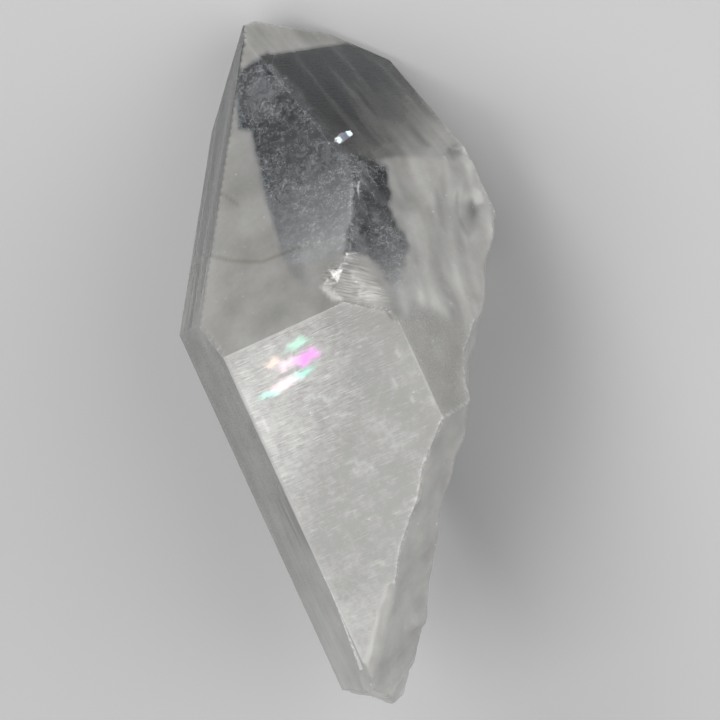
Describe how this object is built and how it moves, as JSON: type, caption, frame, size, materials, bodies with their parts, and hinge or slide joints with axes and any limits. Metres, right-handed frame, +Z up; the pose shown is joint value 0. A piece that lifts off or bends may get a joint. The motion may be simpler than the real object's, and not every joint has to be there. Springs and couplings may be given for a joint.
{
  "type": "quartz point",
  "caption": "Natural milky to clear quartz crystal with a six-sided point, lying on a prism face, its right flank and root end broken in curved shells.",
  "frame": {"origin": "on the surface the crystal lies on, under the middle of its box", "axes": "+Z up out of the top prism face, +Y along the growth axis towards the point, +X towards the broken flank"},
  "size_m": [0.0444, 0.0938, 0.042],
  "materials": {
    "quartz": "clear to milky natural crystal, glossy grown faces with fine growth lines, satin broken faces"
  },
  "bodies": {
    "root": {"quartz_point": "quartz"}
  },
  "joints": []
}
